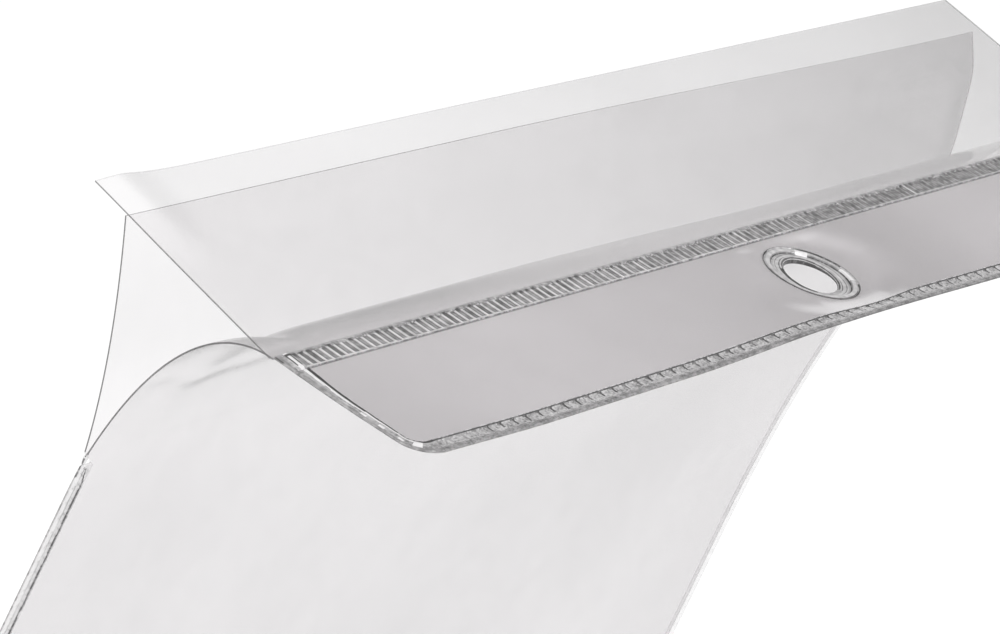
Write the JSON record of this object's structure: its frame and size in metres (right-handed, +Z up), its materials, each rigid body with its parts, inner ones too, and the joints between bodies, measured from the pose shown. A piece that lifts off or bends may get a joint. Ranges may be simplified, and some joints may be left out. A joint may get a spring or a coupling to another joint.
{
  "type": "hanging display pocket",
  "caption": "Clear welded film pocket with a cover flap over its mouth and a stiffened hanging strip with an eyelet, for showing a sheet of paper.",
  "frame": {"origin": "centre of the eyelet's hole, midway through the hanging strip", "axes": "+X along the pocket's width, +Y from the pocket's front towards the strip's outer edge and the back, +Z up, with the pocket's body hanging straight down"},
  "size_m": [0.222, 0.069, 0.3121],
  "materials": {
    "clear_film": "clear calendered soft film, glossy on both faces",
    "welded_film": "clear film fused by a toothed electrode, with glossy squeezed-out beads",
    "frosted_insert": "translucent grey sheet sealed under clear film"
  },
  "bodies": {
    "strip": {"strip_upper_film": "clear_film", "strip_under_film": "clear_film", "strip_stiffener": "frosted_insert", "eyelet_ring": "welded_film", "strip_edge_weld": "welded_film", "strip_end_weld_left": "welded_film", "strip_end_weld_right": "welded_film"},
    "pocket": {"hinge_weld": "welded_film", "back_sheet": "clear_film", "front_sheet": "clear_film", "bottom_weld": "welded_film", "side_weld_left": "welded_film", "side_weld_right": "welded_film", "pinch_tack_left": "welded_film", "pinch_tack_right": "welded_film"},
    "lip": {"front_lip": "clear_film"},
    "flap": {"cover_flap": "clear_film"}
  },
  "joints": [
    {"name": "strip_fold", "type": "hinge", "parent": "strip", "child": "pocket", "pos_m": [0, -0.01069, -0.00215], "axis": [-1, 0, 0], "range_deg": [-80, 78.6]},
    {"name": "flap_lift", "type": "hinge", "parent": "pocket", "child": "flap", "pos_m": [0, -0.01474, -0.0028], "axis": [-1, 0, 0], "range_deg": [0, 85]},
    {"name": "mouth_open", "type": "hinge", "parent": "pocket", "child": "lip", "pos_m": [0, -0.03661, -0.04084], "axis": [1, 0, 0], "range_deg": [0, 25]}
  ]
}
